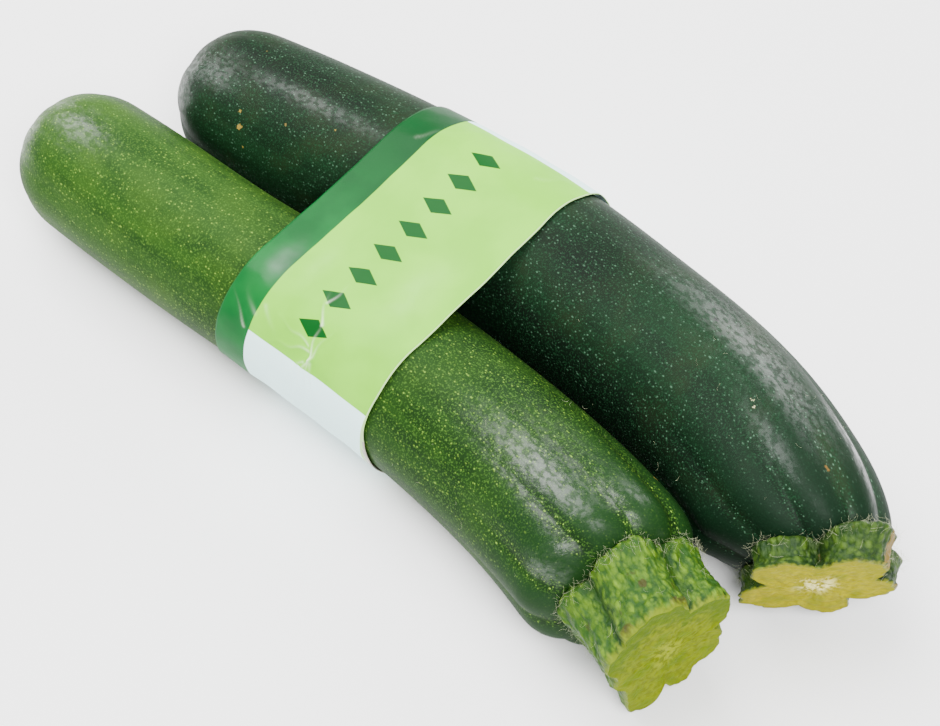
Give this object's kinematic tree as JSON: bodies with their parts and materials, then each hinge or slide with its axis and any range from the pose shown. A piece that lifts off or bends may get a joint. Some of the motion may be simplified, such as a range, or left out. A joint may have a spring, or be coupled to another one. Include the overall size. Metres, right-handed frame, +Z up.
{
  "type": "courgette pair",
  "caption": "Courgettes lying side by side with lobed cut stems, held together by a printed film band round the middle.",
  "frame": {"origin": "on the resting surface, under the middle of the pair's outline", "axes": "+X along the fruits towards their cut stems, +Y from the lighter fruit to the darker one, +Z up"},
  "size_m": [0.2403, 0.095, 0.047],
  "materials": {
    "light_skin": "waxy vegetable skin, satin, mid green with pale specks",
    "dark_skin": "waxy vegetable skin, satin, very dark green with pale specks",
    "printed_film": "glossy printed film, pale green"
  },
  "bodies": {
    "root": {"courgette_light": "light_skin", "courgette_dark": "dark_skin", "film_band": "printed_film"}
  },
  "joints": []
}
